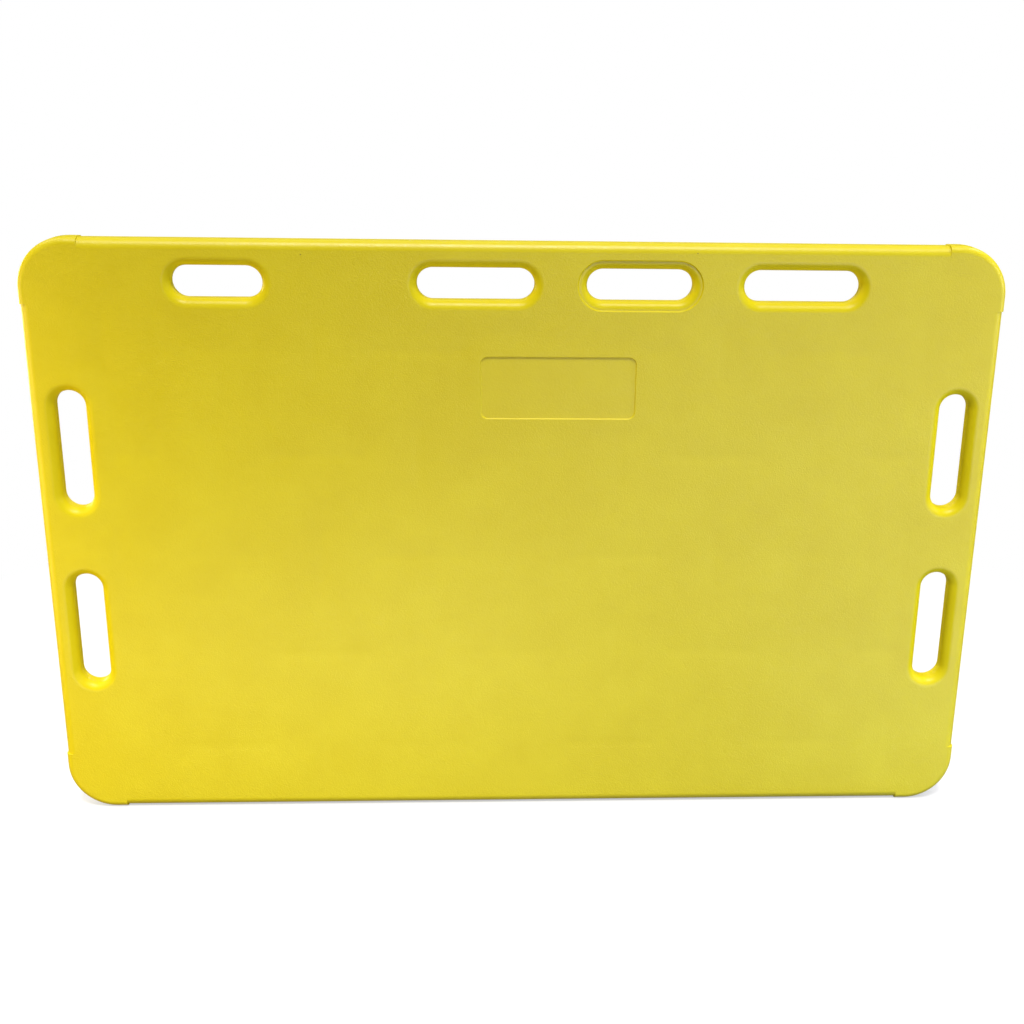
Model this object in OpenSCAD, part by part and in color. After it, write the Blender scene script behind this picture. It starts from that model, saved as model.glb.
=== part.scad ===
// Sorting board: a hollow double-wall plastic board with hand slots, held upright to turn and drive pigs.
// Frame: X runs along the board, Z is up, and the front face looks along -Y.
// The origin is under the middle of the board, on the surface that it stands on.
// Each section is drawn flat, with x along the board, y up the board and z towards its front,
// and upright() then stands it up.

/* [Board] */
// Length of the board, over its corners
board_w = 1200; // [1000:1:1400]
// Height of the board, over its corners
board_h = 760; // [720:1:900]
// Thickness of the board, from face to face
board_t = 31.5; // [28:0.5:40]
// Thickness of the moulded wall
wall = 2.4; // [1.6:0.1:3]

/* [Rim] */
// Rounding of the straight edges, on both faces
edge_fillet = 12; // [9:0.5:14]
// Rounding of the corner sections, on both faces
corner_fillet = 8.5; // [6:0.5:11]
// Radius of the corners, seen from the front
corner_r = 62; // [40:1:70]
// How far a corner section reaches along the top or the foot
corner_reach = 75; // [71:1:110]
// How far a corner section reaches up or down a side
corner_rise = 80; // [71:1:110]
// How far the straight edges stand back from the corner sections
edge_step = 0.8; // [0:0.1:1.5]

/* [Side hand slots] */
// Width of the slots in the two sides
side_slot_w = 37.5; // [30:0.5:44]
// Length of the slots in the two sides
side_slot_len = 151; // [110:1:170]
// Distance of a side slot's centre line from the side
side_slot_inset = 48; // [45:1:70]
// How far the upper side slots' middle lies above the board's middle
side_slot_rise = 118; // [100:1:160]
// How far the lower side slots' middle lies below the board's middle
side_slot_fall = 122; // [100:1:160]

/* [Top hand slots] */
// Width of the slots along the top
top_slot_w = 39; // [30:0.5:48]
// Distance of the top slots' centre line from the top
top_slot_drop = 52; // [48:1:70]
// Place of the first top slot's middle, in percent of the board's length from its middle
top_slot_1_at = -30.4; // [-33:0.1:-28]
// Length of the first top slot
top_slot_1_len = 109; // [90:1:150]
// Place of the second top slot's middle, in the same way
top_slot_2_at = -4.5; // [-7.5:0.1:-3.8]
// Length of the second top slot
top_slot_2_len = 143; // [100:1:160]
// Place of the framed third top slot's middle, in the same way
top_slot_3_at = 12.2; // [11.3:0.1:13.3]
// Length of the framed third top slot
top_slot_3_len = 130; // [100:1:150]
// Place of the fourth top slot's middle, in the same way
top_slot_4_at = 28.9; // [27.5:0.1:33]
// Length of the fourth top slot
top_slot_4_len = 144; // [100:1:170]

/* [Slot mouths] */
// Rounding of a hand slot's two mouths
slot_fillet = 12; // [8:0.5:13.5]
// How far the sunk frame of the third top slot reaches out from its opening
frame_reach = 12; // [9:0.5:14]
// How far that frame lies below the front face
frame_sink = 1.2; // [0.4:0.1:1.4]
// Width of the flat land between that frame's outline and its rounding
frame_land = 2; // [0.5:0.5:4]

/* [Label field] */
// Length of the sunk label field
label_w = 192; // [120:1:240]
// Height of the sunk label field
label_h = 78; // [40:1:90]
// Corner radius of the label field
label_r = 9; // [4:1:15]
// Place of the label field's middle, in percent of the board's length from its middle
label_at = 4; // [-8:0.1:8]
// Distance of the label field's middle from the top
label_drop = 179; // [160:1:220]
// How far the label field lies below the front face
label_sink = 1; // [0.4:0.1:1.4]

/* [Ribs] */
// Number of ribs along the board
rib_columns = 9; // [3:1:10]
// Length of the weld under a rib that runs across
rib_across_len = 115; // [90:1:120]
// Length of the weld under a rib that runs up
rib_up_len = 78; // [50:1:85]
// Width of the weld under a rib
rib_weld_w = 12; // [9:0.5:14]
// Slope of a rib's sides, in degrees
rib_draft = 12; // [6:1:14]
// Rounding of a rib's mouth in the rear face
rib_mouth_r = 5; // [3.5:0.5:7]
// Least distance from a rib's mouth to a hand slot's mouth
rib_clear = 3.6; // [2:0.2:8]
// Height of the lowest ribs' mouths above the foot of the board
rib_foot = 44; // [20:1:60]

/* [Hidden] */
$fn = 96;

// How far a cutting shape runs past what it cuts
over = 1;
plastic = [0.87, 0.78, 0.17];
inner_plastic = [0.80, 0.70, 0.14];

// The two faces, as heights in the drawing
face_front = board_t / 2;
face_rear = -board_t / 2;
inside_front = face_front - wall;

// Inset of the flat walls behind the straight edges
edge_inset = edge_step + edge_fillet;

// Hand slots, each [x, y, length, width, turn]
side_slot_x = board_w / 2 - side_slot_inset;
side_slot_upper_y = board_h / 2 + side_slot_rise;
side_slot_lower_y = board_h / 2 - side_slot_fall;
top_slot_y = board_h - top_slot_drop;
slot_top_1 = [along_board(top_slot_1_at), top_slot_y, top_slot_1_len, top_slot_w, 0];
slot_top_2 = [along_board(top_slot_2_at), top_slot_y, top_slot_2_len, top_slot_w, 0];
slot_top_3 = [along_board(top_slot_3_at), top_slot_y, top_slot_3_len, top_slot_w, 0];
slot_top_4 = [along_board(top_slot_4_at), top_slot_y, top_slot_4_len, top_slot_w, 0];
slot_left_upper = [-side_slot_x, side_slot_upper_y, side_slot_len, side_slot_w, 90];
slot_left_lower = [-side_slot_x, side_slot_lower_y, side_slot_len, side_slot_w, 90];
slot_right_upper = [side_slot_x, side_slot_upper_y, side_slot_len, side_slot_w, 90];
slot_right_lower = [side_slot_x, side_slot_lower_y, side_slot_len, side_slot_w, 90];
plain_slots = [
  slot_top_1, slot_top_2, slot_top_4,
  slot_left_upper, slot_left_lower, slot_right_upper, slot_right_lower
];

// Middle of the label field
label_x = along_board(label_at);
label_y = board_h - label_drop;

// Rib section: the weld lies on the front wall and the sides lean out to a rounded mouth in the rear wall
rib_rows = 5;
rib_lean = tan(rib_draft);
rib_side = wall / cos(rib_draft);
rib_mouth_h = face_rear + rib_mouth_r;
rib_mouth = rib_groove_w(rib_mouth_h) + rib_mouth_r / cos(rib_draft);

// Rib grid: it fills the field between the side slots, and from the foot to the top slots
rib_across_run = rib_across_len - rib_weld_w;
rib_up_run = rib_up_len - rib_weld_w;
rib_last_x = side_slot_x - side_slot_w / 2 - slot_fillet - rib_clear - rib_mouth;
rib_top_y = top_slot_y - top_slot_w / 2 - slot_fillet - rib_clear - rib_mouth - rib_up_run / 2;
rib_low_y = rib_foot + rib_mouth + rib_up_run / 2;

// Place along the board, from a share of its length in percent
function along_board(share) = board_w * share / 100;

// Half width of a rib's groove at a height in the drawing
function rib_groove_w(h) = rib_weld_w / 2 + (inside_front - h) * rib_lean - rib_side;

// Where a column or a row of ribs lies
function rib_x(column) = rib_last_x * (2 * column / (rib_columns - 1) - 1);
function rib_y(row) = rib_top_y - row * (rib_top_y - rib_low_y) / (rib_rows - 1);

// Ribs run across and up in turn, as in a basket weave
function rib_runs_across(column, row) = (column + row) % 2 == 1;

// A rib that runs across in an outermost column stops at the column line, clear of the side slot
function rib_is_short(column) = column == 0 || column == rib_columns - 1;
function rib_run(column, row) =
  !rib_runs_across(column, row) ? rib_up_run : rib_is_short(column) ? rib_across_run / 2 : rib_across_run;
function rib_shift(column, row) =
  rib_runs_across(column, row) && rib_is_short(column) ? -sign(rib_x(column)) * rib_across_run / 4 : 0;

// Stands a flat drawing up: its height then faces the front
module upright() {
  rotate([90, 0, 0]) children();
}

// What rounding takes off a square corner at the drawing's origin
module corner_waste(r) {
  difference() {
    translate([-over, -over]) square(r + over);
    translate([r, r]) circle(r);
  }
}

// Rectangle about the drawing's origin, with round corners
module rounded_field(w, h, r) {
  difference() {
    square([w, h], center = true);
    for (right = [0, 1], top = [0, 1]) {
      mirror([right, 0]) mirror([0, top]) translate([-w / 2, -h / 2]) corner_waste(r);
    }
  }
}

// Straight band with half-round ends, of a width of twice r
module band(run, r) {
  square([run, 2 * r], center = true);
  for (end = [-1, 1]) {
    translate([end * run / 2, 0]) circle(r);
  }
}

// Carries a shape that is drawn about the origin to a hand slot
module at_slot(slot) {
  translate([slot[0], slot[1], 0]) rotate([0, 0, slot[4]]) children();
}

// Outline of a hand slot, grown all round
module slot_outline(slot, grown) {
  at_slot(slot) band(slot[2] - slot[3], slot[3] / 2 + grown);
}

// Carries a shape that is drawn about the origin to each rib of a row
module at_ribs(row) {
  for (column = [0 : rib_columns - 1]) {
    translate([rib_x(column) + rib_shift(column, row), rib_y(row), 0])
      rotate([0, 0, rib_runs_across(column, row) ? 0 : 90])
        let ($rib_run = rib_run(column, row)) children();
  }
}

// Area of a half nose: from the mid-plane up to a face, with the outer edge rounded
module half_nose(height, r, reach) {
  difference() {
    translate([0, -over]) square([reach, height + over]);
    translate([0, height]) mirror([0, 1]) corner_waste(r);
  }
}

// Wall section from the mid-plane, round a fillet and into a face, as far as the lip at its reach
module half_wall(height, r, reach) {
  intersection() {
    difference() {
      half_nose(height, r, reach);
      translate([wall, 0]) half_nose(height - wall, r - wall, reach);
    }
    square([reach, height]);
  }
}

// Wall section of an edge or of a slot: one half to each face
module nose_wall(front_h, front_r, front_reach, rear_h, rear_r, rear_reach) {
  half_wall(front_h, front_r, front_reach);
  mirror([0, 1]) half_wall(rear_h, rear_r, rear_reach);
}

// Section of the rim: the same to both faces, and closed to a tube by a web between them
module rim_tube(fillet) {
  nose_wall(face_front, fillet, fillet, -face_rear, fillet, fillet);
  translate([fillet - wall, face_rear + wall / 2]) square([wall, board_t - wall]);
}

// Straight length of rim along x, which looks down
module rim_bar(run, fillet) {
  rotate([90, 0, 90]) linear_extrude(run, center = true) rim_tube(fillet);
}

// Sweeps a section round a band: two straight sides and two half turns
module band_sweep(run) {
  for (end = [0, 1]) {
    mirror([end, 0, 0]) translate([run / 2, 0, 0]) rotate([0, 0, -90]) rotate_extrude(angle = 180) children();
  }
  for (side = [0, 1]) {
    mirror([0, side, 0]) rotate([90, 0, 90]) linear_extrude(run, center = true) children();
  }
}

// Corner section with its outer corner at the origin, reaching along x and along y
module corner_section() {
  along = corner_reach - corner_r;
  up = corner_rise - corner_r;
  translate([corner_r, corner_r, 0]) rotate([0, 0, 180]) rotate_extrude(angle = 90)
    translate([corner_r, 0]) mirror([1, 0]) rim_tube(corner_fillet);
  translate([corner_r + along / 2, 0, 0]) rim_bar(along, corner_fillet);
  translate([0, corner_r + up / 2, 0]) rotate([0, 0, -90]) rim_bar(up, corner_fillet);
}

// Carries a shape drawn for the bottom left of the board to another corner or side
module to_side(right, top) {
  translate([0, board_h / 2, 0])
    mirror([right, 0, 0]) mirror([0, top, 0])
      translate([-board_w / 2, -board_h / 2, 0]) children();
}

// Outline of the flat walls: up to the rounding of the corners, and further in behind the straight edges
module wall_outline() {
  edge_w = board_w - 2 * corner_reach;
  edge_h = board_h - 2 * corner_rise;
  inset = 2 * corner_fillet;
  translate([0, board_h / 2]) difference() {
    rounded_field(board_w - inset, board_h - inset, corner_r - corner_fillet);
    for (end = [0, 1]) {
      mirror([0, end]) translate([-edge_w / 2, -board_h / 2]) square([edge_w, edge_inset]);
      mirror([end, 0]) translate([-board_w / 2, -edge_h / 2]) square([edge_inset, edge_h]);
    }
  }
}

// Flat front face, with the slots' and the label field's openings
module front_wall() {
  color(plastic) upright() translate([0, 0, inside_front]) linear_extrude(wall) difference() {
    wall_outline();
    for (slot = plain_slots) {
      slot_outline(slot, slot_fillet);
    }
    slot_outline(slot_top_3, frame_reach);
    translate([label_x, label_y]) rounded_field(label_w, label_h, label_r);
  }
}

// Flat rear face, with the slots' and the ribs' openings
module rear_wall() {
  color(plastic) upright() translate([0, 0, face_rear]) linear_extrude(wall) difference() {
    wall_outline();
    for (slot = concat(plain_slots, [slot_top_3])) {
      slot_outline(slot, slot_fillet);
    }
    for (row = [0 : rib_rows - 1]) {
      at_ribs(row) band($rib_run, rib_mouth);
    }
  }
}

// Bare panel of the label field, sunk below the front face
module label_panel() {
  color(plastic) upright() translate([label_x, label_y, inside_front])
    linear_extrude(wall - label_sink) rounded_field(label_w, label_h, label_r);
}

// Straight edge along the foot or the top, between two corner sections
module long_edge(top) {
  color(plastic) upright() to_side(0, top)
    translate([board_w / 2, edge_step, 0]) rim_bar(board_w - 2 * corner_reach, edge_fillet);
}

// Straight edge up one side, between two corner sections
module side_edge(right) {
  color(plastic) upright() to_side(right, 0)
    translate([edge_step, board_h / 2, 0]) rotate([0, 0, -90])
      rim_bar(board_h - 2 * corner_rise, edge_fillet);
}

// Corner of the rim
module rim_corner(right, top) {
  color(plastic) upright() to_side(right, top) corner_section();
}

// Plain hand slot: a tunnel through the board with a rounded mouth in each face
module plain_slot(slot) {
  color(plastic) upright() at_slot(slot) band_sweep(slot[2] - slot[3])
    translate([slot[3] / 2, 0])
      nose_wall(face_front, slot_fillet, slot_fillet, -face_rear, slot_fillet, slot_fillet);
}

// Framed hand slot: its front mouth lies in a sunk frame with a sharp outline
module framed_slot(slot) {
  color(plastic) upright() at_slot(slot) band_sweep(slot[2] - slot[3])
    translate([slot[3] / 2, 0])
      nose_wall(face_front - frame_sink, frame_reach - frame_land, frame_reach,
        -face_rear, slot_fillet, slot_fillet);
}

// Section of a rib's outside or of its groove: side line, floor line and mouth radius tell them apart
module rib_area(floor_h, floor_w, mouth_r, mouth_h) {
  centre = [rib_mouth, rib_mouth_h];
  side_end = centre + mouth_r * [-cos(rib_draft), -sin(rib_draft)];
  difference() {
    polygon([[0, floor_h], [floor_w, floor_h], side_end, centre, [rib_mouth, mouth_h], [0, mouth_h]]);
    translate(centre) circle(mouth_r);
  }
}

// Wall section of a rib, from the middle of its floor to its mouth
module rib_wall() {
  groove_floor = inside_front - wall;
  difference() {
    rib_area(inside_front, rib_weld_w / 2, rib_mouth_r - wall, face_rear);
    rib_area(groove_floor, rib_groove_w(groove_floor), rib_mouth_r, face_rear - over);
  }
}

// One row of ribs, each pressed from the rear face to a weld on the front wall
module rib_row(row) {
  color(inner_plastic) upright() at_ribs(row) band_sweep($rib_run) rib_wall();
}

module top_edge() long_edge(1);
module bottom_edge() long_edge(0);
module left_edge() side_edge(0);
module right_edge() side_edge(1);
module corner_top_left() rim_corner(0, 1);
module corner_top_right() rim_corner(1, 1);
module corner_bottom_left() rim_corner(0, 0);
module corner_bottom_right() rim_corner(1, 0);
module hand_slot_top_1() plain_slot(slot_top_1);
module hand_slot_top_2() plain_slot(slot_top_2);
module hand_slot_top_3() framed_slot(slot_top_3);
module hand_slot_top_4() plain_slot(slot_top_4);
module hand_slot_left_upper() plain_slot(slot_left_upper);
module hand_slot_left_lower() plain_slot(slot_left_lower);
module hand_slot_right_upper() plain_slot(slot_right_upper);
module hand_slot_right_lower() plain_slot(slot_right_lower);

front_wall();
rear_wall();
label_panel();
top_edge();
bottom_edge();
left_edge();
right_edge();
corner_top_left();
corner_top_right();
corner_bottom_left();
corner_bottom_right();
hand_slot_top_1();
hand_slot_top_2();
hand_slot_top_3();
hand_slot_top_4();
hand_slot_left_upper();
hand_slot_left_lower();
hand_slot_right_upper();
hand_slot_right_lower();
rib_row(0);  // rib_row_1
rib_row(1);  // rib_row_2
rib_row(2);  // rib_row_3
rib_row(3);  // rib_row_4
rib_row(4);  // rib_row_5
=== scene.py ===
import math
from collections import namedtuple

import bpy
import numpy as np
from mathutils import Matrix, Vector
from mathutils.geometry import delaunay_2d_cdt


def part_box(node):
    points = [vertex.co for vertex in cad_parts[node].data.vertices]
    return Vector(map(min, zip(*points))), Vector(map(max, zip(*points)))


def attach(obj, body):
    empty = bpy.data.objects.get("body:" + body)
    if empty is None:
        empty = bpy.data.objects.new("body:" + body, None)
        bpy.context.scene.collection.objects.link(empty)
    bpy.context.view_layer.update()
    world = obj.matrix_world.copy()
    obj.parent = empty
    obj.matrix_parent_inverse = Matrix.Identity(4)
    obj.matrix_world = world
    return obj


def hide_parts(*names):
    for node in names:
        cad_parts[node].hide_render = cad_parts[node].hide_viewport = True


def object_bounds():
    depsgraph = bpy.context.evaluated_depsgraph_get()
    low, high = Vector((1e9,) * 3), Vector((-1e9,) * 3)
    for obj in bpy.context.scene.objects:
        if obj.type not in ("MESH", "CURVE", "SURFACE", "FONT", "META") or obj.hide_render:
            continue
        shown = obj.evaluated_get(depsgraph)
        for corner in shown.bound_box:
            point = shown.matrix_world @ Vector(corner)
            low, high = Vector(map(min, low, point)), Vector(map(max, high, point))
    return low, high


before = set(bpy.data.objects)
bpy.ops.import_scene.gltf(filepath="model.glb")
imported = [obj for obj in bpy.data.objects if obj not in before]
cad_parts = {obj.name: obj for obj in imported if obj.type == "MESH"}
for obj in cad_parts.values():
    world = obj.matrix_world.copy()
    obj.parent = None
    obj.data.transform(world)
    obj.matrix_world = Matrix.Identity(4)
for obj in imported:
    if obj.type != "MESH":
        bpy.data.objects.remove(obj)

# Sorting board: a hollow yellow plastic board, drawn as fine meshes in place of the solids.
# Sections are drawn in d and h: d runs away from a nose, and h is the height towards the front, so y is -h.

cad_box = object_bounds()
MM = 0.001

# Section sizes, as the solids have them
WALL = 2.4 * MM
EDGE_FILLET = 12 * MM
CORNER_FILLET = 8.5 * MM
CORNER_RADIUS = 62 * MM
SLOT_FILLET = 12 * MM
FRAME_REACH = 12 * MM
FRAME_LAND = 2 * MM
LABEL_RADIUS = 9 * MM
RIB_WELD_HALF = 6 * MM
RIB_DRAFT = math.radians(12)
RIB_MOUTH_ROUND = 5 * MM
RIB_ACROSS_RUN = 103 * MM
RIB_UP_RUN = 66 * MM
RIB_COLUMNS = 9
RIB_ROWS = 5

# Small forms that the solids leave out
SEAM_ROUND = 0.35 * MM
PARTING_DEPTH = 0.16 * MM
PARTING_HALF = 0.4 * MM
LABEL_SLOPE = 1.3 * MM
LABEL_INSET = 0.7 * MM
LABEL_EXTRA = 0.7 * MM
FRAME_SLOPE = 1.5 * MM
FRAME_EXTRA = 0.6 * MM
RIB_FLOOR_ROUND = 1.6 * MM

# Uneven faces: a narrow mark in a wide halo over each rib, and slow waves, which fade out towards the edges
MARK_DEPTH = 0.24 * MM
MARK_HALF = 6 * MM
MARK_SOFT = 3.2 * MM
MARK_LEAST = 0.3
MARK_VARIETY = (12.9, 7.3, 1.7)
HALO_DEPTH = 0.4 * MM
HALO_WIDTH = 26 * MM
WAVE_DEPTH = 0.4 * MM
FADE = 26 * MM
REAR_WAVE_SHIFT = 3.0

# Pairs of waves: their strength, and for both sines the radians per metre along x and z, and the phase
WAVES = (
    (0.32, (9.1, 3.7, 0.6), (4.3, -11.3, 1.9)),
    (0.18, (21.7, -6.1, 2.2), (7.9, 24.1, 0.4)),
)

# How finely curves and faces are divided
SEAM_STEPS = 3
OUTLINE_STEPS = 4
FILLET_STEPS = 10
TURN_STEPS = 28
CORNER_STEPS = 24
FRONT_STEP = 6 * MM
REAR_STEP = 10 * MM
MARK_STEP = 5 * MM
LEAST_TURNS = 6
LEAST_SIDES = 2
SLOPE_STEP = 0.2 * MM
POINT_WELD = 0.001 * MM
FILL_WELD = 1e-9

LOW = np.array(cad_box[0])
HIGH = np.array(cad_box[1])
FACE = float(HIGH[1])

# Station of a sweep: its origin, the ways that d and the sweep run, and the inset and tilt near a seam
Station = namedtuple("Station", "origin out along inset tilt", defaults=(0.0, 0.0))
Slot = namedtuple("Slot", "centre run half upright")


def node_box(node):
    """Lowest and highest corner of a solid, as arrays."""
    low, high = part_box(node)
    return np.array(low), np.array(high)


class Skin:
    """Points, faces and shading normals of one piece."""

    def __init__(self):
        self.points = []
        self.places = {}
        self.faces = []
        self.normals = []

    def point(self, place):
        """Number of the point at a place. Points that fall together are shared."""
        key = tuple(round(float(c) / POINT_WELD) for c in place)
        if key not in self.places:
            self.places[key] = len(self.points)
            self.points.append(tuple(float(c) for c in place))
        return self.places[key]

    def face(self, places, normals):
        """Adds a face that looks the way its normals point."""
        numbers = []
        kept = []
        for place, normal in zip(places, normals):
            number = self.point(place)
            if number not in numbers:
                numbers.append(number)
                kept.append(normal)
        if len(numbers) < 3:
            return
        corners = [Vector(self.points[n]) for n in numbers]
        turn = Vector((0, 0, 0))
        for a, b in zip(corners[1:], corners[2:]):
            turn += (a - corners[0]).cross(b - corners[0])
        if turn.dot(Vector(np.sum(kept, axis=0))) < 0:
            numbers.reverse()
            kept.reverse()
        self.faces.append(numbers)
        self.normals.extend(kept)

    def build(self, name, material):
        """Makes the object, which stands for the solid of the same node."""
        mesh = bpy.data.meshes.new(name)
        mesh.from_pydata(self.points, [], self.faces)
        mesh.polygons.foreach_set("use_smooth", [True] * len(mesh.polygons))
        mesh.normals_split_custom_set([tuple(n) for n in self.normals])
        mesh.materials.append(material)
        piece = bpy.data.objects.new(name, mesh)
        bpy.context.scene.collection.objects.link(piece)
        return piece


def finish_piece(skin, name, material):
    """Builds a piece, ties it to the board's body, and hides the solid that it stands in for."""
    piece = skin.build(name + "_skin", material)
    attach(piece, "root")
    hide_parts(name)
    return piece


def place_row(row, station):
    """Place and shading normal of one section row at a station.

    A row is d, h, the normal in d and h, and the way against which it is drawn in near a seam, or 0 and 0.
    """
    d, h, nd, nh, md, mh = row
    d = d - station.inset * md
    h = h - station.inset * mh
    place = (
        station.origin[0] + d * station.out[0],
        -h,
        station.origin[1] + d * station.out[1],
    )
    tilt = station.tilt if md or mh else 0.0
    lean = math.sin(tilt)
    keep = math.cos(tilt)
    normal = (
        keep * nd * station.out[0] + lean * station.along[0],
        -keep * nh,
        keep * nd * station.out[1] + lean * station.along[1],
    )
    return place, normal


def sweep(skin, stations, strand, closed):
    """Draws a strand of section rows along the stations."""
    rings = [[place_row(row, station) for row in strand] for station in stations]
    pairs = list(zip(rings, rings[1:]))
    if closed:
        pairs.append((rings[-1], rings[0]))
    for near, far in pairs:
        for j in range(len(strand) - 1):
            corners = (near[j], near[j + 1], far[j + 1], far[j])
            skin.face([c[0] for c in corners], [c[1] for c in corners])


def cap(skin, station, outer, inner, side):
    """Closes the end of a swept wall."""
    normal = (side * station.along[0], 0.0, side * station.along[1])
    outside = [place_row(row, station)[0] for row in outer]
    inside = [place_row(row, station)[0] for row in inner]
    for j in range(len(outside) - 1):
        skin.face([outside[j], outside[j + 1], inside[j + 1], inside[j]], [normal] * 4)


def nose_half(side, height, fillet):
    """Outer and inner rows from a lip to the nose, on the front (side 1) or on the rear (side -1)."""
    outer = []
    inner = []
    middle = side * (height - fillet)
    within = fillet - WALL
    for step in range(FILLET_STEPS + 1):
        turn = math.pi / 2 * step / FILLET_STEPS
        nd = -math.sin(turn)
        nh = side * math.cos(turn)
        outer.append((fillet + fillet * nd, middle + fillet * nh, nd, nh, nd, nh))
        inner.append((fillet + within * nd, middle + within * nh, -nd, -nh, 0, 0))
    return outer, inner


def nose_section(front, rear):
    """Strands of a wall from the front face, round a nose with a parting line, to the rear face.

    Front and rear are each the height of the face and the fillet at the nose.
    """
    front_outer, front_inner = nose_half(1, *front)
    rear_outer, rear_inner = nose_half(-1, *rear)
    rear_outer.reverse()
    rear_inner.reverse()
    steep = math.hypot(PARTING_DEPTH, PARTING_HALF)
    fall = PARTING_DEPTH / steep
    rise = PARTING_HALF / steep
    brink = [(0, side * PARTING_HALF, -1, 0, -1, 0) for side in (1, -1)]
    floor = (PARTING_DEPTH, 0, -1, 0, -1, 0)
    outer = front_outer + [brink[0], floor, brink[1]] + rear_outer
    inner = front_inner + [(WALL, h, 1, 0, 0, 0) for h in (PARTING_HALF, 0, -PARTING_HALF)] + rear_inner
    upper = [(row[0], row[1], -rise, -fall, -1, 0) for row in (brink[0], floor)]
    lower = [(row[0], row[1], -rise, fall, -1, 0) for row in (floor, brink[1])]
    lips = []
    for side, (height, fillet) in ((1, front), (-1, rear)):
        lips.append([
            (fillet, side * height, 1, 0, 0, side),
            (fillet, side * (height - WALL), 1, 0, 0, 0),
        ])
    strands = [front_outer + [brink[0]], upper, lower, [brink[1]] + rear_outer, inner] + lips
    return strands, outer, inner


def even_section(fillet):
    """Section with the same fillet on the front and on the rear."""
    return nose_section((FACE, fillet), (FACE, fillet))


def framed_section():
    """Section of the framed slot: a short slope down from the face, then the rounded mouth."""
    fillet = FRAME_REACH - FRAME_LAND
    strands, outer, inner = nose_section((frame_height, fillet), (FACE, SLOT_FILLET))
    sink = FACE - frame_height
    steep = math.hypot(FRAME_SLOPE, sink)
    foot = FRAME_REACH - FRAME_SLOPE
    back = frame_height - WALL
    ends = ((FRAME_REACH, FACE), (foot, frame_height))
    slope = [(d, h, -sink / steep, FRAME_SLOPE / steep, 0, 0) for d, h in ends]
    land = [(d, frame_height, 0, 1, 0, 0) for d in (foot, fillet)]
    lip = [(FRAME_REACH, h, 1, 0, 0, 0) for h in (FACE, back)]
    under = [(d, back, 0, -1, 0, 0) for d in (FRAME_REACH, fillet)]
    return strands[:-2] + strands[-1:] + [slope, land, lip, under], outer, inner


def band_stations(centre, run, upright, half):
    """Stations round a band with half-round ends, at a distance from its spine."""
    stations = []
    for end in (1, -1):
        for step in range(TURN_STEPS + 1):
            turn = math.pi * step / TURN_STEPS - math.pi / 2
            out = (end * math.cos(turn), end * math.sin(turn))
            spot = (end * run / 2 + half * out[0], half * out[1])
            along = (-out[1], out[0])
            if upright:
                spot = (-spot[1], spot[0])
                out = (-out[1], out[0])
                along = (-along[1], along[0])
            origin = (centre[0] + spot[0], centre[1] + spot[1])
            stations.append(Station(origin, out, along))
    return stations


def field_stations(centre, width, height, radius):
    """Stations round a rectangle with round corners."""
    stations = []
    for quarter in range(4):
        right = 1 if quarter in (0, 3) else -1
        top = 1 if quarter in (0, 1) else -1
        for step in range(OUTLINE_STEPS * 2 + 1):
            turn = math.pi / 2 * (quarter + step / (OUTLINE_STEPS * 2))
            out = (math.cos(turn), math.sin(turn))
            origin = (
                centre[0] + right * (width / 2 - radius) + radius * out[0],
                centre[1] + top * (height / 2 - radius) + radius * out[1],
            )
            stations.append(Station(origin, out, (-out[1], out[0])))
    return stations


def with_rounded_ends(stations):
    """Adds stations at both ends, over which the wall rounds off towards its seams."""
    def ending(station, side):
        added = []
        for step in range(SEAM_STEPS + 1):
            turn = math.pi / 2 * step / SEAM_STEPS
            back = SEAM_ROUND * (1 - math.sin(turn))
            origin = tuple(o - side * back * t for o, t in zip(station.origin, station.along))
            inset = SEAM_ROUND * (1 - math.cos(turn))
            added.append(Station(origin, station.out, station.along, inset, side * turn))
        return added

    start = ending(stations[0], -1)
    start.reverse()
    return start + stations[1:-1] + ending(stations[-1], 1)


def loop_at(stations, d):
    """Points in x and z round closed stations, at a distance d out."""
    return [(s.origin[0] + d * s.out[0], s.origin[1] + d * s.out[1]) for s in stations]


# Rim: where the seams and the straight edges lie, and how far in the flat walls begin
seam_low = node_box("corner_bottom_left")[1]
seam_high = node_box("corner_top_right")[0]
edge_back = float(node_box("bottom_edge")[0][2] - LOW[2])
wall_inset = edge_back + EDGE_FILLET


def corner_seam(right, top):
    """Place in x of a corner's seam on the long side, and in z of its seam on the upright side."""
    return seam_high[0] if right else seam_low[0], seam_high[2] if top else seam_low[2]


def corner_stations(right, top):
    """Stations of a corner section, from its seam on the long side to its seam on the upright side."""
    h = 1 if right else -1
    v = 1 if top else -1
    tip = (HIGH[0] if right else LOW[0], HIGH[2] if top else LOW[2])
    seam = corner_seam(right, top)
    middle = (tip[0] - h * CORNER_RADIUS, tip[1] - v * CORNER_RADIUS)
    stations = [Station((seam[0], tip[1]), (0, -v), (h, 0))]
    for step in range(CORNER_STEPS + 1):
        turn = math.pi / 2 * step / CORNER_STEPS
        across = h * math.sin(turn)
        up = v * math.cos(turn)
        origin = (middle[0] + CORNER_RADIUS * across, middle[1] + CORNER_RADIUS * up)
        along = (h * math.cos(turn), -v * math.sin(turn))
        stations.append(Station(origin, (-across, -up), along))
    stations.append(Station((tip[0], seam[1]), (-h, 0), (0, -v)))
    return stations


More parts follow.
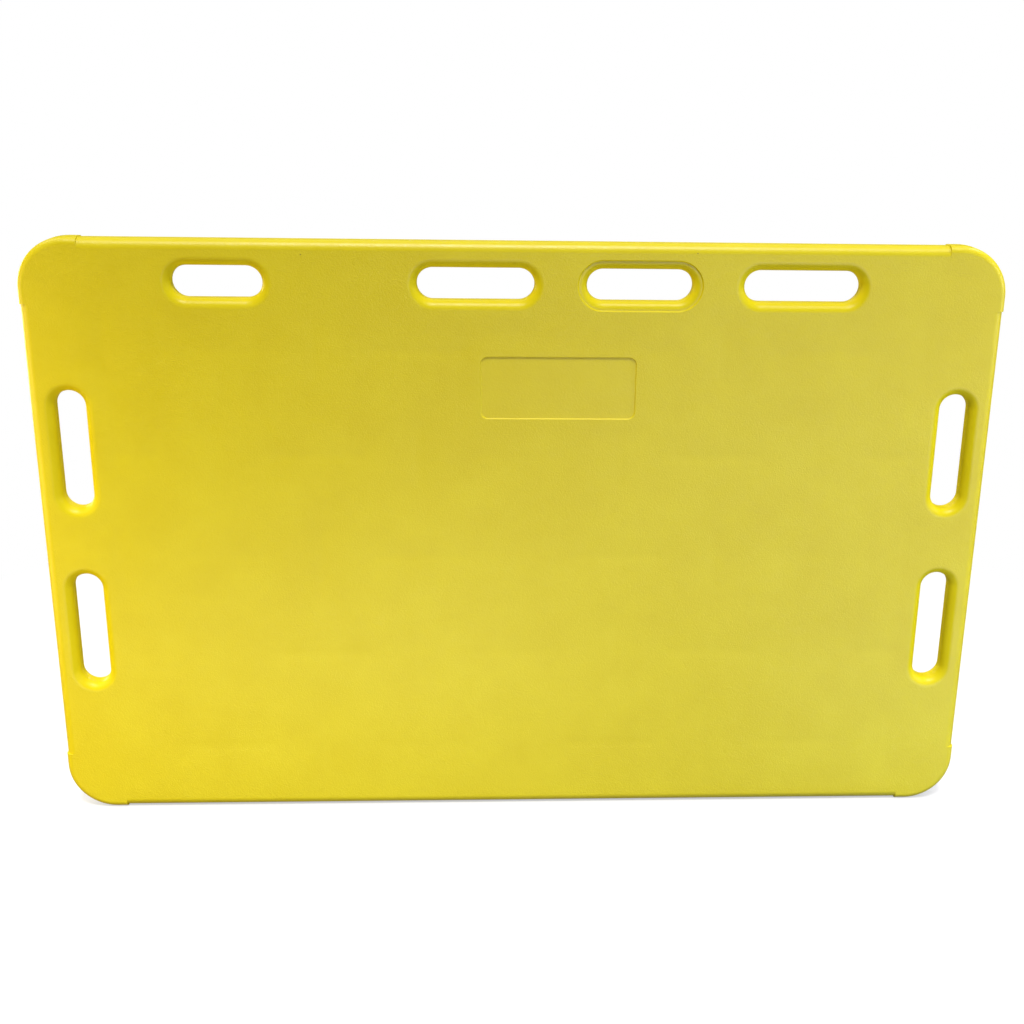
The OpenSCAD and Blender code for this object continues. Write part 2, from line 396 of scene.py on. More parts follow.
def edge_stations(node):
    """Stations of a straight edge, from seam to seam."""
    low, high = node_box(node)
    if node in ("bottom_edge", "top_edge"):
        level = low[2] if node == "bottom_edge" else high[2]
        out = (0, 1) if node == "bottom_edge" else (0, -1)
        return [Station((x, level), out, (1, 0)) for x in (low[0], high[0])]
    level = low[0] if node == "left_edge" else high[0]
    out = (1, 0) if node == "left_edge" else (-1, 0)
    return [Station((level, z), out, (0, 1)) for z in (low[2], high[2])]


def wall_outline():
    """Outline of the flat walls, round the board."""
    loop = []
    for right, top in ((1, 1), (1, 0), (0, 0), (0, 1)):
        seam = corner_seam(right, top)
        level = HIGH[2] - wall_inset if top else LOW[2] + wall_inset
        side = HIGH[0] - wall_inset if right else LOW[0] + wall_inset
        arc = loop_at(corner_stations(right, top), CORNER_FILLET)
        points = [(seam[0], level)] + arc + [(side, seam[1])]
        loop.extend(points if right == top else reversed(points))
    return loop


def slot_shape(node):
    """Centre of a hand slot, run of its spine, half width of its opening, and whether it is upright."""
    low, high = node_box(node)
    width, _, height = (float(c) for c in high - low)
    x, _, z = (float(c) for c in (low + high) / 2)
    return Slot((x, z), abs(height - width), min(width, height) / 2 - SLOT_FILLET, height > width)


# Hand slots, one of which has a sunk frame
SLOTS = {node: slot_shape(node) for node in sorted(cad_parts) if node.startswith("hand_slot")}
FRAMED = "hand_slot_top_3"
frame_height = -float(node_box(FRAMED)[0][1]) - FRAME_EXTRA

# Ribs: lean and width of the section's side, and heights of its weld, its floor and its mouth's rounding
rib_lean = math.tan(RIB_DRAFT)
rib_side = WALL / math.cos(RIB_DRAFT)
inside_front = FACE - WALL
groove_floor = inside_front - WALL
mouth_height = -FACE + RIB_MOUTH_ROUND


def groove_half(h):
    """Half width of a rib's groove at a height."""
    return RIB_WELD_HALF + (inside_front - h) * rib_lean - rib_side


rib_mouth = groove_half(mouth_height) + RIB_MOUTH_ROUND / math.cos(RIB_DRAFT)


def rib_bands(row):
    """Centre, run and direction of each rib in a row, which run across and up in turn."""
    low, high = node_box(f"rib_row_{row + 1}")
    level = float(low[2] + high[2]) / 2
    last = float(high[0]) - rib_mouth
    bands = []
    for column in range(RIB_COLUMNS):
        x = last * (2 * column / (RIB_COLUMNS - 1) - 1)
        if (column + row) % 2 == 0:
            bands.append(((x, level), RIB_UP_RUN, True))
        elif column in (0, RIB_COLUMNS - 1):
            inward = -math.copysign(RIB_ACROSS_RUN / 4, x)
            bands.append(((x + inward, level), RIB_ACROSS_RUN / 2, False))
        else:
            bands.append(((x, level), RIB_ACROSS_RUN, False))
    return bands


RIBS = [rib_bands(row) for row in range(RIB_ROWS)]


def band_distance(x, z, centre, run, upright):
    """Distance of points from the spine of a band."""
    across = x - centre[0]
    up = z - centre[1]
    if upright:
        across, up = up, across
    beyond = np.maximum(np.abs(across) - run / 2, 0)
    return np.hypot(beyond, up)


# Label field: its place and size, and the height of its panel
label_low, label_high = node_box("label_panel")
LABEL_MIDDLE = (float(label_low[0] + label_high[0]) / 2, float(label_low[2] + label_high[2]) / 2)
LABEL_SIZE = (float(label_high[0] - label_low[0]), float(label_high[2] - label_low[2]))
label_height = -float(label_low[1]) - LABEL_EXTRA


def edge_distance(x, z, holes):
    """Distance of points from the rim's rounding and from the holes, no less than nothing."""
    near = np.minimum.reduce([x - LOW[0], HIGH[0] - x, z - LOW[2], HIGH[2] - z]) - wall_inset
    corner_x = np.maximum(np.abs(x) - (HIGH[0] - CORNER_RADIUS), 0)
    corner_z = np.maximum(np.abs(z - (LOW[2] + HIGH[2]) / 2) - ((HIGH[2] - LOW[2]) / 2 - CORNER_RADIUS), 0)
    near = np.minimum(near, CORNER_RADIUS - wall_inset - np.hypot(corner_x, corner_z))
    for hole in holes:
        near = np.minimum(near, hole(x, z))
    return np.maximum(near, 0)


def slot_hole(slot):
    """Distance function of a slot's mouth."""
    centre, run, half, upright = slot
    return lambda x, z: band_distance(x, z, centre, run, upright) - half - SLOT_FILLET


def label_hole(x, z):
    """Distance of points from the label field."""
    across = np.abs(x - LABEL_MIDDLE[0]) - LABEL_SIZE[0] / 2 + LABEL_RADIUS
    up = np.abs(z - LABEL_MIDDLE[1]) - LABEL_SIZE[1] / 2 + LABEL_RADIUS
    outside = np.hypot(np.maximum(across, 0), np.maximum(up, 0))
    return outside + np.minimum(np.maximum(across, up), 0) - LABEL_RADIUS


def rib_hole(band):
    """Distance function of a rib's mouth."""
    return lambda x, z: band_distance(x, z, *band) - rib_mouth


# Distance functions of the openings in each wall
SLOT_HOLES = [slot_hole(slot) for slot in SLOTS.values()]
FRONT_HOLES = SLOT_HOLES + [label_hole]
REAR_HOLES = SLOT_HOLES + [rib_hole(band) for bands in RIBS for band in bands]


def soft_fade(x, z, holes):
    """How much of its unevenness a face keeps: none at its edges and holes, and all of it well away."""
    fade = np.clip(edge_distance(x, z, holes) / FADE, 0, 1)
    return fade * fade * (3 - 2 * fade)


def waves(x, z):
    """Slow waviness of a moulded face, from 0 to 1."""
    level = 0.5
    for strength, *sines in WAVES:
        first, second = (np.sin(across * x + up * z + phase) for across, up, phase in sines)
        level = level + strength * (first * second)
    return level


def mark_strength(row, column):
    """How strongly a rib shows in the front face, which differs from rib to rib."""
    by_row, by_column, phase = MARK_VARIETY
    return MARK_LEAST + (1 - MARK_LEAST) * abs(math.sin(by_row * row + by_column * column + phase))


def front_sink(x, z):
    """How far the front face lies below its plane: marks over the ribs, and slow waves."""
    total = WAVE_DEPTH * waves(x, z)
    for row, bands in enumerate(RIBS):
        for column, band in enumerate(bands):
            away = band_distance(x, z, *band)
            mark = MARK_DEPTH * 0.5 * (1 - np.tanh((away - MARK_HALF) / MARK_SOFT))
            halo = HALO_DEPTH * np.exp(-((away / HALO_WIDTH) ** 2))
            total = total + mark_strength(row, column) * (mark + halo)
    return soft_fade(x, z, FRONT_HOLES) * total


def rear_sink(x, z):
    """How far the rear face lies below its plane: slow waves alone."""
    return soft_fade(x, z, REAR_HOLES) * WAVE_DEPTH * waves(x + REAR_WAVE_SHIFT, z)


def slope_normals(x, z, sink, side):
    """Shading normals of a face that lies below its plane by sink."""
    dx = (sink(x + SLOPE_STEP, z) - sink(x - SLOPE_STEP, z)) / (2 * SLOPE_STEP)
    dz = (sink(x, z + SLOPE_STEP) - sink(x, z - SLOPE_STEP)) / (2 * SLOPE_STEP)
    normals = np.stack([dx, np.full_like(x, -side), dz], axis=1)
    return normals / np.linalg.norm(normals, axis=1)[:, None]


def inside_loop(points, loop):
    """Which points lie inside a loop."""
    inside = np.zeros(len(points), bool)
    x, z = points[:, 0], points[:, 1]
    for (ax, az), (bx, bz) in zip(loop, loop[1:] + loop[:1]):
        crosses = (az > z) != (bz > z)
        if az != bz:
            inside ^= crosses & (x < (bx - ax) * (z - az) / (bz - az) + ax)
    return inside


def fill(outline, holes, inner):
    """Triangles of an outline with holes, over its own points and some inner points."""
    points = []
    edges = []
    for loop in [outline] + holes:
        first = len(points)
        points.extend(loop)
        edges.extend((first + i, first + (i + 1) % len(loop)) for i in range(len(loop)))
    points.extend(inner)
    flat = [Vector(p) for p in points]
    made, _, triangles, origins, _, _ = delaunay_2d_cdt(flat, edges, [], 0, FILL_WELD)
    places = np.array([points[o[0]] if o else tuple(v) for v, o in zip(made, origins)])
    triangles = np.array(triangles)
    middles = places[triangles].mean(axis=1)
    keep = inside_loop(middles, outline)
    for hole in holes:
        keep &= ~inside_loop(middles, hole)
    return places, triangles[keep]


def grid_points(step):
    """Points on a grid over the board."""
    across = np.arange(LOW[0] + step, HIGH[0], step)
    up = np.arange(LOW[2] + step, HIGH[2], step)
    return [a.ravel() for a in np.meshgrid(across, up)]


def band_loop(band, half, step):
    """Points round a band with half-round ends, a step apart."""
    centre, run, upright = band
    turns = max(LEAST_TURNS, round(math.pi * half / step))
    sides = max(LEAST_SIDES, round(run / step))
    loop = []
    for end in (1, -1):
        for number in range(turns + 1):
            turn = math.pi * number / turns - math.pi / 2
            loop.append((end * (run / 2 + half * math.cos(turn)), end * half * math.sin(turn)))
        for number in range(1, sides):
            loop.append((end * (run / 2 - run * number / sides), end * half))
    if upright:
        loop = [(-b, a) for a, b in loop]
    return [(centre[0] + a, centre[1] + b) for a, b in loop]


def mark_points():
    """Points along the flanks of the marks over the ribs."""
    spots = []
    for bands in RIBS:
        for band in bands:
            for half in (MARK_HALF - MARK_SOFT, MARK_HALF, MARK_HALF + MARK_SOFT):
                spots.extend(band_loop(band, half, MARK_STEP))
    return [np.array(a) for a in zip(*spots)]


def clear_points(x, z, holes, gap):
    """Those of the points that keep a gap from the wall's outline and from its holes."""
    keep = edge_distance(x, z, holes) > gap
    return [(float(a), float(b)) for a, b in zip(x[keep], z[keep])]


def flat_wall(name, side, holes, inner, sink, material):
    """Flat wall with holes.

    Each hole is its stations, and the width and depth of the slope round its edge.
    """
    skin = Skin()
    outline = wall_outline()
    face_loops = [loop_at(stations, slope) for stations, slope, drop in holes]
    deep_loops = [loop_at(stations, 0) for stations, slope, drop in holes]
    face = side * FACE
    deep = side * (FACE - WALL)
    places, triangles = fill(outline, face_loops, inner)
    sunk = sink(places[:, 0], places[:, 1])
    normals = slope_normals(places[:, 0], places[:, 1], sink, side)
    for triangle in triangles:
        corners = [(places[i][0], -side * (FACE - sunk[i]), places[i][1]) for i in triangle]
        skin.face(corners, [normals[i] for i in triangle])
    places, triangles = fill(outline, deep_loops, [])
    for triangle in triangles:
        corners = [(places[i][0], -deep, places[i][1]) for i in triangle]
        skin.face(corners, [(0, side, 0)] * 3)
    for (ax, az), (bx, bz) in zip(outline, outline[1:] + outline[:1]):
        length = math.hypot(bx - ax, bz - az)
        normal = ((az - bz) / length, 0, (bx - ax) / length)
        skin.face([(ax, -face, az), (bx, -face, bz), (bx, -deep, bz), (ax, -deep, az)], [normal] * 4)
    for stations, slope, drop in holes:
        top = FACE - drop
        if slope:
            steep = math.hypot(slope, drop)
            nd, nh = -drop / steep, slope / steep
            sloped = [(slope, side * FACE, nd, side * nh, 0, 0), (0, side * top, nd, side * nh, 0, 0)]
            sweep(skin, stations, sloped, True)
        sweep(skin, stations, [(0, side * top, -1, 0, 0, 0), (0, deep, -1, 0, 0, 0)], True)
    return finish_piece(skin, name, material)


def swept_piece(name, stations, section, closed, material):
    """Wall section swept round a slot, or along a length of the rim with rounded ends."""
    strands, outer, inner = section
    skin = Skin()
    if not closed:
        stations = with_rounded_ends(stations)
        cap(skin, stations[0], outer, inner, -1)
        cap(skin, stations[-1], outer, inner, 1)
    for strand in strands:
        sweep(skin, stations, strand, closed)
    return finish_piece(skin, name, material)


def rib_section():
    """Strands of a rib's wall: groove with a rounded floor, mouth, lip, outside and weld."""
    cos_d, sin_d = math.cos(RIB_DRAFT), math.sin(RIB_DRAFT)
    floor_half = groove_half(groove_floor)
    bend = math.pi / 2 - RIB_DRAFT
    setback = RIB_FLOOR_ROUND * math.tan(bend / 2)
    groove = [(0, groove_floor, 0, -1, 0, 0)]
    middle = (floor_half - setback, groove_floor - RIB_FLOOR_ROUND)
    for step in range(OUTLINE_STEPS + 1):
        turn = bend * step / OUTLINE_STEPS
        nd, nh = -math.sin(turn), -math.cos(turn)
        groove.append((middle[0] - RIB_FLOOR_ROUND * nd, middle[1] - RIB_FLOOR_ROUND * nh, nd, nh, 0, 0))
    centre = (rib_mouth, mouth_height)
    mouth = []
    outside = []
    for step in range(FILLET_STEPS + 1):
        turn = RIB_DRAFT + (math.pi / 2 - RIB_DRAFT) * step / FILLET_STEPS
        nd, nh = -math.cos(turn), -math.sin(turn)
        mouth.append((centre[0] + RIB_MOUTH_ROUND * nd, centre[1] + RIB_MOUTH_ROUND * nh, nd, nh, 0, 0))
        within = RIB_MOUTH_ROUND - WALL
        outside.append((centre[0] + within * nd, centre[1] + within * nh, -nd, -nh, 0, 0))
    outside.reverse()
    outside.append((RIB_WELD_HALF, inside_front, cos_d, sin_d, 0, 0))
    lip = [(rib_mouth, -FACE, 1, 0, 0, 0), (rib_mouth, -FACE + WALL, 1, 0, 0, 0)]
    weld = [(RIB_WELD_HALF, inside_front, 0, 1, 0, 0), (0, inside_front, 0, 1, 0, 0)]
    return [groove + mouth, lip, outside, weld]


def noise(tree, kind, where):
    """Noise texture of a kind, which is its scale, detail and roughness."""
    node = tree.nodes.new("ShaderNodeTexNoise")
    for name, number in zip(("Scale", "Detail", "Roughness"), kind):
        node.inputs[name].default_value = number
    tree.links.new(where, node.inputs["Vector"])
    return node.outputs["Fac"]


def spread(tree, value, source, target=(0.0, 1.0)):
    """Maps a value from one range to another, and stops at its ends."""
    node = tree.nodes.new("ShaderNodeMapRange")
    for name, number in zip(("From Min", "From Max", "To Min", "To Max"), source + target):
        node.inputs[name].default_value = number
    tree.links.new(value, node.inputs["Value"])
    return node.outputs["Result"]


def mix(tree, factor, first, second):
    """Mixes two colours, each a colour or a socket."""
    node = tree.nodes.new("ShaderNodeMix")
    node.data_type = "RGBA"
    tree.links.new(factor, node.inputs["Factor"])
    for name, colour in (("A", first), ("B", second)):
        socket = next(s for s in node.inputs if s.name == name and s.type == "RGBA")
        if isinstance(colour, tuple):
            socket.default_value = colour + (1.0,)
        else:
            tree.links.new(colour, socket)
    return next(s for s in node.outputs if s.type == "RGBA")


def calculate(tree, kind, first, second):
    """Operation on a socket and another socket or a number."""
    node = tree.nodes.new("ShaderNodeMath")
    node.operation = kind
    tree.links.new(first, node.inputs[0])
    if isinstance(second, (int, float)):
        node.inputs[1].default_value = second
    else:
        tree.links.new(second, node.inputs[1])
    return node.outputs[0]


# Colours of the plastic
DEEP_YELLOW = (0.685, 0.566, 0.004)
PALE_YELLOW = (0.748, 0.642, 0.010)
SPECK_BROWN = (0.200, 0.130, 0.020)
SCUFF_YELLOW = (0.750, 0.650, 0.050)

# Noises: scale per metre, detail and roughness
CLOUDS = (2.6, 4, 0.55)
BLOTCHES = (17, 5, 0.6)
STREAKS = (34, 6, 0.7)
DULLNESS = (60, 5, 0.6)
PEEL = (260, 3, 0.5)
FINE_GRAIN = (600, 2, 0.6)

# Wear: the streaks' stretch, turn and range, the specks' cells, and how roughness varies
NOISE_RANGE = (0.3, 0.7)
STREAK_STRETCH = (1.0, 1.0, 9.0)
STREAK_TURN = (0.0, 0.5, 0.0)
SCUFF_RANGE = (0.62, 0.76)
SCUFF_DULLNESS = 0.12
DULL_SPREAD = 0.05
SPECK_CELLS = 42
SPECK_EDGE = (0.03, 0.05)
SPECK_PICK = (0.987, 0.989)
SPECK_STRENGTH = 0.6

# Surface: bumps, and the parts of the normal over which the gloss of lips changes
PEEL_STRENGTH = 0.2
PEEL_DEPTH = 0.6 * MM
GRAIN_DEPTH = 0.5 * MM
PLASTIC_IOR = 1.5
LIP_UPWARD = (0.0, 0.7)
LIP_OUTWARD = (0.92, 1.0)


def cloudy_yellow(tree, where):
    """Two yellows, mixed by large clouds and small blotches in equal parts."""
    clouds = spread(tree, noise(tree, CLOUDS, where), NOISE_RANGE)
    blotches = spread(tree, noise(tree, BLOTCHES, where), NOISE_RANGE)
    patches = calculate(tree, "MULTIPLY", calculate(tree, "ADD", clouds, blotches), 0.5)
    return mix(tree, patches, DEEP_YELLOW, PALE_YELLOW)


def scuff_strength(tree, where, scuffs):
    """Slanting streaks of wear."""
    slant = tree.nodes.new("ShaderNodeMapping")
    slant.inputs["Scale"].default_value = STREAK_STRETCH
    slant.inputs["Rotation"].default_value = STREAK_TURN
    tree.links.new(where, slant.inputs["Vector"])
    streaks = noise(tree, STREAKS, slant.outputs["Vector"])
    return spread(tree, streaks, SCUFF_RANGE, (0.0, scuffs))


def speck_strength(tree, where):
    """Small specks, in the middle of a few cells."""
    cells = tree.nodes.new("ShaderNodeTexVoronoi")
    cells.inputs["Scale"].default_value = SPECK_CELLS
    tree.links.new(where, cells.inputs["Vector"])
    near = spread(tree, cells.outputs["Distance"], SPECK_EDGE, (1.0, 0.0))
    pick = tree.nodes.new("ShaderNodeSeparateColor")
    tree.links.new(cells.outputs["Color"], pick.inputs["Color"])
    chosen = spread(tree, pick.outputs["Red"], SPECK_PICK, (0.0, SPECK_STRENGTH))
    return calculate(tree, "MULTIPLY", near, chosen)


def bump(tree, kind, where, strength, depth):
    """Bump node that follows a noise."""
    node = tree.nodes.new("ShaderNodeBump")
    node.inputs["Strength"].default_value = strength
    node.inputs["Distance"].default_value = depth
    tree.links.new(noise(tree, kind, where), node.inputs["Height"])
    return node


def worn_gloss(tree, normal, gloss):
    """Gloss by where a wall faces: sheltered, upward as a lip that wears smooth, or outward."""
    sheltered, lip, outward = gloss
    facing = tree.nodes.new("ShaderNodeSeparateXYZ")
    tree.links.new(normal, facing.inputs[0])
    worn = spread(tree, facing.outputs["Z"], LIP_UPWARD, (sheltered, lip))
    open_side = calculate(tree, "ABSOLUTE", facing.outputs["Y"], 0)
    added = spread(tree, open_side, LIP_OUTWARD, (0.0, outward - sheltered))
    return calculate(tree, "ADD", worn, added)


def plastic(name, scuffs, roughness, grain, gloss):
    """Satin polyethylene: cloudy yellow, with a few specks and scuffs, and a fine grain.

    Gloss is one number, or three: for sheltered walls, for lips that face up, and for what faces out.
    """
    material = bpy.data.materials.new(name)
    material.use_nodes = True
    tree = material.node_tree
    shader = tree.nodes["Principled BSDF"]
    coordinates = tree.nodes.new("ShaderNodeTexCoord")
    where = coordinates.outputs["Object"]
    scuff = scuff_strength(tree, where, scuffs)
    colour = mix(tree, scuff, cloudy_yellow(tree, where), SCUFF_YELLOW)
    colour = mix(tree, speck_strength(tree, where), colour, SPECK_BROWN)
    tree.links.new(colour, shader.inputs["Base Color"])
    dull_range = (roughness - DULL_SPREAD, roughness + DULL_SPREAD)
    dull = spread(tree, noise(tree, DULLNESS, where), NOISE_RANGE, dull_range)
    worn = calculate(tree, "MULTIPLY", scuff, SCUFF_DULLNESS)
    tree.links.new(calculate(tree, "ADD", dull, worn), shader.inputs["Roughness"])
    peel = bump(tree, PEEL, where, PEEL_STRENGTH, PEEL_DEPTH)
    fine = bump(tree, FINE_GRAIN, where, grain, GRAIN_DEPTH)
    tree.links.new(peel.outputs["Normal"], fine.inputs["Normal"])
    tree.links.new(fine.outputs["Normal"], shader.inputs["Normal"])
    shader.inputs["IOR"].default_value = PLASTIC_IOR
    if isinstance(gloss, tuple):
        shine = worn_gloss(tree, coordinates.outputs["Normal"], gloss)
        tree.links.new(shine, shader.inputs["Specular IOR Level"])
    else:
        shader.inputs["Specular IOR Level"].default_value = gloss
    return material


# Plastics of the sections: scuffs, roughness, grain and gloss
FACE_PLASTIC = plastic("board_face_plastic", 0.10, 0.43, 1.0, 0.5)
RIM_PLASTIC = plastic("board_rim_plastic", 0.20, 0.38, 0.60, 0.42)
SLOT_PLASTIC = plastic("board_slot_plastic", 0.08, 0.35, 0.6, (0.04, 0.26, 0.5))
LABEL_PLASTIC = plastic("board_label_plastic", 0.05, 0.42, 0.70, 0.5)
RIB_PLASTIC = plastic("board_rib_plastic", 0.12, 0.46, 0.60, 0.4)

# Rim
edge_section = even_section(EDGE_FILLET)
corner_section = even_section(CORNER_FILLET)
for edge in ("top_edge", "bottom_edge", "left_edge", "right_edge"):
    swept_piece(edge, edge_stations(edge), edge_section, False, RIM_PLASTIC)
for corner, right, top in (
    ("corner_top_left", 0, 1),
    ("corner_top_right", 1, 1),
    ("corner_bottom_left", 0, 0),
    ("corner_bottom_right", 1, 0),
):
    swept_piece(corner, corner_stations(right, top), corner_section, False, RIM_PLASTIC)

# Hand slots
slot_section = even_section(SLOT_FILLET)
for slot_node, (centre, run, half, upright) in SLOTS.items():
    section = framed_section() if slot_node == FRAMED else slot_section
    swept_piece(slot_node, band_stations(centre, run, upright, half), section, True, SLOT_PLASTIC)

# Ribs
rib_strands = rib_section()
for row, bands in enumerate(RIBS):
    row_skin = Skin()
    for band in bands:
        spine = band_stations(*band, 0.0)
        for strand in rib_strands:
            sweep(row_skin, spine, strand, True)
    finish_piece(row_skin, f"rib_row_{row + 1}", RIB_PLASTIC)

# Walls, with their openings
slot_openings = []
for centre, run, half, upright in SLOTS.values():
    slot_openings.append((band_stations(centre, run, upright, half + SLOT_FILLET), 0.0, 0.0))
label_stations = field_stations(
    LABEL_MIDDLE,
    LABEL_SIZE[0] - 2 * LABEL_INSET,
    LABEL_SIZE[1] - 2 * LABEL_INSET,
    LABEL_RADIUS - LABEL_INSET,
)
label_opening = (label_stations, LABEL_SLOPE, FACE - label_height)
front_inner = clear_points(*grid_points(FRONT_STEP), FRONT_HOLES, FRONT_STEP / 2)
front_inner += clear_points(*mark_points(), FRONT_HOLES, FRONT_STEP / 2)
flat_wall("front_wall", 1, slot_openings + [label_opening], front_inner, front_sink, FACE_PLASTIC)
rib_openings = [(band_stations(*band, rib_mouth), 0.0, 0.0) for bands in RIBS for band in bands]
rear_inner = clear_points(*grid_points(REAR_STEP), REAR_HOLES, REAR_STEP / 2)
flat_wall("rear_wall", -1, slot_openings + rib_openings, rear_inner, rear_sink, FACE_PLASTIC)

# Label field: a bare panel below the front face
label_skin = Skin()
label_loop = loop_at(label_stations, 0)
label_places, label_triangles = fill(label_loop, [], [])
for height, facing in ((label_height, -1), (inside_front, 1)):
    for triangle in label_triangles:
        corners = [(label_places[i][0], -height, label_places[i][1]) for i in triangle]
        label_skin.face(corners, [(0, facing, 0)] * 3)
sweep(label_skin, label_stations, [(0, label_height, 1, 0, 0, 0), (0, inside_front, 1, 0, 0, 0)], True)
finish_piece(label_skin, "label_panel", LABEL_PLASTIC)


# Floor: its size, its colour as seen, and the colour of the light that it throws back
FLOOR_SIZE = 16
FLOOR_SEEN = (0.84, 0.85, 0.91)
FLOOR_FADE = (0.45, 1.3)
FLOOR_GLOW = 0.5
BOUNCE_LEFT = (0.34, 0.21, 0.03)
BOUNCE_RIGHT = (0.30, 0.32, 0.75)
BOUNCE_ACROSS = (-0.8, 0.45)
BOUNCE_REAR = (0.15, 0.14, 0.08)
BOUNCE_FRONT = (0.02, -0.06)


def floor_material():
    """White floor that takes a shadow near the board and fades to plain white further out."""
    material = bpy.data.materials.new("studio_floor")
    material.use_nodes = True
    tree = material.node_tree
    shader = tree.nodes["Principled BSDF"]
    shader.inputs["Roughness"].default_value = 0.9
    shader.inputs["Specular IOR Level"].default_value = 0.0
    seen = tree.nodes.new("ShaderNodeLightPath").outputs["Is Camera Ray"]
    glow = tree.nodes.new("ShaderNodeEmission")
    glow.inputs["Color"].default_value = (1.0, 1.0, 1.0, 1.0)
    glow.inputs["Strength"].default_value = 1.0
    where = tree.nodes.new("ShaderNodeTexCoord").outputs["Object"]
    axes = tree.nodes.new("ShaderNodeSeparateXYZ")
    tree.links.new(where, axes.inputs[0])
    across = spread(tree, axes.outputs["X"], BOUNCE_ACROSS)
    front = spread(tree, axes.outputs["Y"], BOUNCE_FRONT)
    bounce = mix(tree, front, BOUNCE_REAR, mix(tree, across, BOUNCE_LEFT, BOUNCE_RIGHT))
    tree.links.new(mix(tree, seen, bounce, FLOOR_SEEN), shader.inputs["Base Color"])
    length = tree.nodes.new("ShaderNodeVectorMath")
    length.operation = "LENGTH"
    tree.links.new(where, length.inputs[0])
    far = spread(tree, length.outputs["Value"], FLOOR_FADE, (FLOOR_GLOW, 1.0))
    blend = tree.nodes.new("ShaderNodeMixShader")
    tree.links.new(calculate(tree, "MULTIPLY", far, seen), blend.inputs[0])
    tree.links.new(shader.outputs[0], blend.inputs[1])
    tree.links.new(glow.outputs[0], blend.inputs[2])
    tree.links.new(blend.outputs[0], tree.nodes["Material Output"].inputs["Surface"])
    return material


bpy.ops.mesh.primitive_plane_add(size=FLOOR_SIZE, location=(0, 0, 0))
floor = bpy.context.object
floor.name = "studio_floor"
floor.data.materials.append(floor_material())


def add_light(name, kind, place, aim, power, colour):
    """Light at a place, pointed at another."""
    data = bpy.data.lights.new(name, kind)
    data.energy = power
    data.color = colour
    lamp = bpy.data.objects.new(name, data)
    lamp.location = place
    lamp.rotation_euler = (Vector(aim) - Vector(place)).to_track_quat("-Z", "Y").to_euler()
    lamp.visible_camera = False
    bpy.context.scene.collection.objects.link(lamp)
    return lamp


def panel_light(name, place, aim, size, power, colour):
    """Soft rectangular light."""
    lamp = add_light(name, "AREA", place, aim, power, colour)
    lamp.data.shape = "RECTANGLE"
    lamp.data.size, lamp.data.size_y = size
    return lamp


# Lamps: place, aim, size, power and colour. The photograph is lit warm on the left and cool on the right.
BOARD_MIDDLE = tuple((LOW + HIGH) / 2)
overhead = add_light("overhead_light", "SUN", (0.0, -0.88, 2.3), BOARD_MIDDLE, 3.07, (1.0, 0.97, 0.955))
overhead.data.angle = math.radians(14)
panel_light("left_light", (-0.9, -0.15, 0.4), (-0.55, 0.0, 0.3), (0.2, 0.7), 1.6, (1.0, 0.82, 0.46))
panel_light("right_light", (1.8, -0.5, 0.9), (0.3, 0.0, 0.38), (0.6, 0.7), 6.6, (0.93, 0.96, 1.0))
panel_light("right_side_light", (1.2, -0.25, 0.62), (0.45, 0.0, 0.42), (0.3, 0.5), 1.0, (0.96, 1.0, 0.96))
panel_light("veil_light", (0.82, -1.4, 0.25), (0.3, 0.0, 0.26), (1.76, 0.6), 8.4, (0.48, 0.58, 1.0))
panel_light("pool_light", (-0.32, -0.45, 0.08), (-0.3, 0.0, 0.14), (0.8, 0.15), 0.84, (0.93, 1.0, 0.94))
panel_light("cool_pool_light", (0.62, -0.32, 0.06), (0.55, 0.0, 0.12), (0.4, 0.1), 0.18, (0.28, 0.42, 1.0))
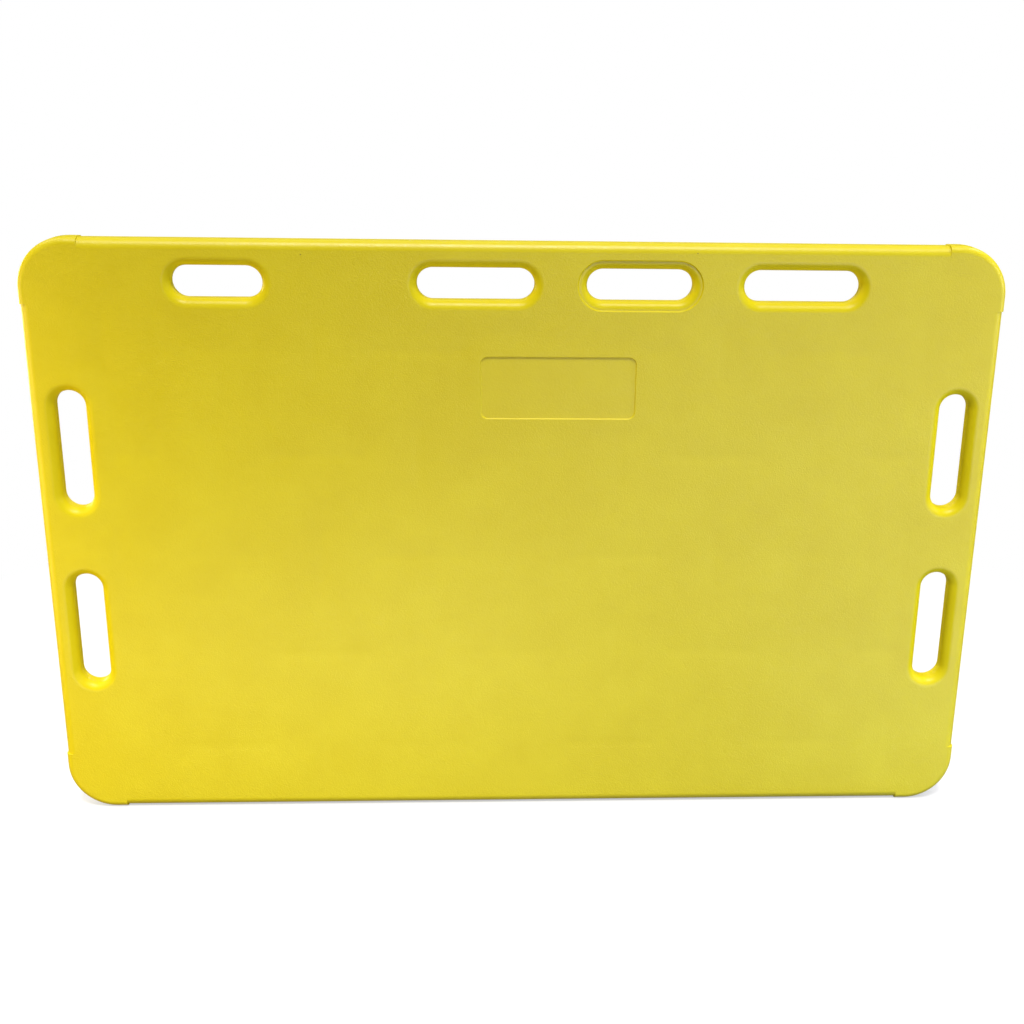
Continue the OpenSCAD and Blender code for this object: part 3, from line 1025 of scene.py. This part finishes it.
panel_light("top_left_light", (-1.1, 0.15, 1.5), (-0.4, 0.0, 0.6), (0.16, 0.16), 2.2, (1.0, 0.98, 0.95))
panel_light("top_right_light", (1.1, 0.15, 1.5), (0.4, 0.0, 0.6), (0.16, 0.16), 3.0, (1.0, 1.0, 1.0))
panel_light("rear_light", (0.0, 1.3, 2.4), BOARD_MIDDLE, (2.4, 1.0), 8.0, (1.0, 1.0, 1.0))
rear_fill_colour = (1.0, 0.99, 0.97)
rear_fill = panel_light("rear_fill_light", (0.0, 2.0, 1.0), BOARD_MIDDLE, (1.4, 0.9), 24.0, rear_fill_colour)
rear_fill.visible_glossy = False
panel_light("rear_left_light", (-1.6, 0.8, 0.6), (-0.3, 0.0, 0.42), (0.5, 0.5), 12.0, (1.0, 0.9, 0.6))

# World: faint and warm as light, white as seen
AMBIENT = 0.1
AMBIENT_COLOUR = (1.0, 0.95, 0.80)
world = bpy.data.worlds.new("studio_world")
bpy.context.scene.world = world
world.use_nodes = True
sky = world.node_tree
backdrop = sky.nodes["Background"]
sky_seen = sky.nodes.new("ShaderNodeLightPath").outputs["Is Camera Ray"]
sky.links.new(mix(sky, sky_seen, AMBIENT_COLOUR, (1.0, 1.0, 1.0)), backdrop.inputs["Color"])
sky.links.new(spread(sky, sky_seen, (0.0, 1.0), (AMBIENT, 1.0)), backdrop.inputs["Strength"])

# Camera, fitted to the photograph: sensor and lens in mm, shift, place, and turn in degrees
CAMERA_SENSOR = 36
CAMERA_LENS = 47.81
CAMERA_SHIFT = -0.0469
CAMERA_PLACE = (-0.0347, -1.6623, 0.9605)
CAMERA_TURN = (71.845, -0.92, -2.735)
camera_data = bpy.data.cameras.new("photo_camera")
camera_data.sensor_width = CAMERA_SENSOR
camera_data.lens = CAMERA_LENS
camera_data.shift_x = CAMERA_SHIFT
camera = bpy.data.objects.new("photo_camera", camera_data)
camera.location = CAMERA_PLACE
camera.rotation_euler = tuple(math.radians(a) for a in CAMERA_TURN)
bpy.context.scene.collection.objects.link(camera)
bpy.context.scene.camera = camera
bpy.context.scene.view_settings.view_transform = "Standard"
